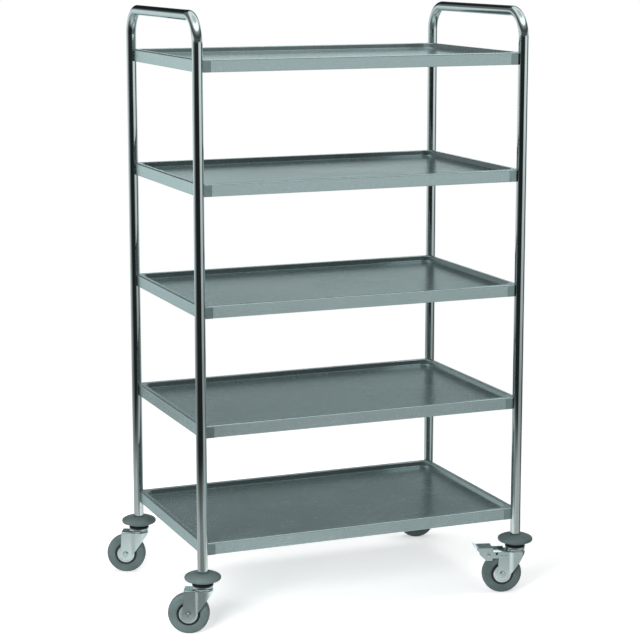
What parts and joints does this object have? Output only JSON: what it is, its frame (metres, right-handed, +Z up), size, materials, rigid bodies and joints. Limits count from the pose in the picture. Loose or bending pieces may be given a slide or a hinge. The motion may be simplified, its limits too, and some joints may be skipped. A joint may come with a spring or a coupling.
{
  "type": "serving trolley",
  "caption": "Tall serving trolley with bent tube side frames, stacked pressed steel trays, round corner bumpers and swivel castors with foot brakes.",
  "frame": {"origin": "On the floor, at the middle of the ground that the trolley covers at rest, with its castors trailing to the left", "axes": "+X along the trays to the right, +Y to the back, +Z up"},
  "size_m": [0.958, 0.6134, 1.474],
  "materials": {
    "tube_steel": "mirror-polished stainless steel tube",
    "tray_steel": "satin stainless sheet with a fine grain",
    "corner_steel": "satin stainless, darker than the trays",
    "screw_steel": "plain zinc-plated screws",
    "bumper_rubber": "matt grey rubber",
    "stem_steel": "bright zinc plate",
    "seal_plastic": "black",
    "expander_plastic": "black",
    "ball_steel": "hardened steel, greased",
    "fork_zinc": "bright zinc plate",
    "pedal_zinc": "bright zinc plate",
    "leaf_steel": "plated spring steel",
    "bolt_zinc": "zinc plate",
    "guard_zinc": "pressed and zinc plated",
    "wheel_plastic": "black moulding",
    "tyre_rubber": "grey non-marking rubber, lightly soiled"
  },
  "bodies": {
    "root": {"left_frame_tube": "tube_steel", "right_frame_tube": "tube_steel", "tray_1": "tray_steel", "tray_1_corners": "corner_steel", "tray_2": "tray_steel", "tray_2_corners": "corner_steel", "tray_3": "tray_steel", "tray_3_corners": "corner_steel", "tray_4": "tray_steel", "tray_4_corners": "corner_steel", "tray_5": "tray_steel", "tray_5_corners": "corner_steel", "tray_screws": "screw_steel", "post_expanders": "expander_plastic", "ball_rings": "ball_steel", "front_left_bumper": "bumper_rubber", "front_left_stem": "stem_steel", "front_left_seal": "seal_plastic", "front_right_bumper": "bumper_rubber", "front_right_stem": "stem_steel", "front_right_seal": "seal_plastic", "back_left_bumper": "bumper_rubber", "back_left_stem": "stem_steel", "back_left_seal": "seal_plastic", "back_right_bumper": "bumper_rubber", "back_right_stem": "stem_steel", "back_right_seal": "seal_plastic"},
    "front_left_castor": {"front_left_fork": "fork_zinc", "front_left_axle_bolt": "bolt_zinc", "front_left_axle_sleeve": "bolt_zinc", "front_left_thread_guards": "guard_zinc"},
    "front_left_wheel": {"front_left_wheel_centre": "wheel_plastic", "front_left_tyre": "tyre_rubber"},
    "front_right_castor": {"front_right_fork": "fork_zinc", "front_right_axle_bolt": "bolt_zinc", "front_right_axle_sleeve": "bolt_zinc", "front_right_thread_guards": "guard_zinc", "front_right_brake_pin": "bolt_zinc", "front_right_brake_leaf": "leaf_steel", "front_right_brake_rivets": "bolt_zinc"},
    "front_right_wheel": {"front_right_wheel_centre": "wheel_plastic", "front_right_tyre": "tyre_rubber"},
    "front_right_pedal": {"front_right_brake_pedal": "pedal_zinc"},
    "back_left_castor": {"back_left_fork": "fork_zinc", "back_left_axle_bolt": "bolt_zinc", "back_left_axle_sleeve": "bolt_zinc", "back_left_thread_guards": "guard_zinc"},
    "back_left_wheel": {"back_left_wheel_centre": "wheel_plastic", "back_left_tyre": "tyre_rubber"},
    "back_right_castor": {"back_right_fork": "fork_zinc", "back_right_axle_bolt": "bolt_zinc", "back_right_axle_sleeve": "bolt_zinc", "back_right_thread_guards": "guard_zinc", "back_right_brake_pin": "bolt_zinc", "back_right_brake_leaf": "leaf_steel", "back_right_brake_rivets": "bolt_zinc"},
    "back_right_wheel": {"back_right_wheel_centre": "wheel_plastic", "back_right_tyre": "tyre_rubber"},
    "back_right_pedal": {"back_right_brake_pedal": "pedal_zinc"}
  },
  "joints": [
    {"name": "front_left_swivel", "type": "hinge", "parent": "root", "child": "front_left_castor", "pos_m": [-0.40143, -0.2575, 0.11], "axis": [0, 0, 1], "continuous": true},
    {"name": "front_left_wheel_spin", "type": "hinge", "parent": "front_left_castor", "child": "front_left_wheel", "pos_m": [-0.43225, -0.24313, 0.05], "axis": [0.4226, 0.9063, 0], "continuous": true},
    {"name": "front_right_swivel", "type": "hinge", "parent": "root", "child": "front_right_castor", "pos_m": [0.43356, -0.2575, 0.11], "axis": [0, 0, 1], "continuous": true},
    {"name": "front_right_wheel_spin", "type": "hinge", "parent": "front_right_castor", "child": "front_right_wheel", "pos_m": [0.40088, -0.24813, 0.05], "axis": [0.2756, 0.9613, 0], "continuous": true},
    {"name": "front_right_brake", "type": "hinge", "parent": "front_right_castor", "child": "front_right_pedal", "pos_m": [0.36627, -0.2382, 0.102], "axis": [-0.2756, -0.9613, 0], "range_deg": [0, 22]},
    {"name": "back_left_swivel", "type": "hinge", "parent": "root", "child": "back_left_castor", "pos_m": [-0.40143, 0.2575, 0.11], "axis": [0, 0, 1], "continuous": true},
    {"name": "back_left_wheel_spin", "type": "hinge", "parent": "back_left_castor", "child": "back_left_wheel", "pos_m": [-0.43199, 0.27241, 0.05], "axis": [0.4384, 0.8988, 0], "continuous": true},
    {"name": "back_right_swivel", "type": "hinge", "parent": "root", "child": "back_right_castor", "pos_m": [0.43356, 0.2575, 0.11], "axis": [0, 0, 1], "continuous": true},
    {"name": "back_right_wheel_spin", "type": "hinge", "parent": "back_right_castor", "child": "back_right_wheel", "pos_m": [0.40161, 0.26913, 0.05], "axis": [0.342, 0.9397, 0], "continuous": true},
    {"name": "back_right_brake", "type": "hinge", "parent": "back_right_castor", "child": "back_right_pedal", "pos_m": [0.36778, 0.28144, 0.102], "axis": [-0.342, -0.9397, 0], "range_deg": [0, 22]}
  ]
}
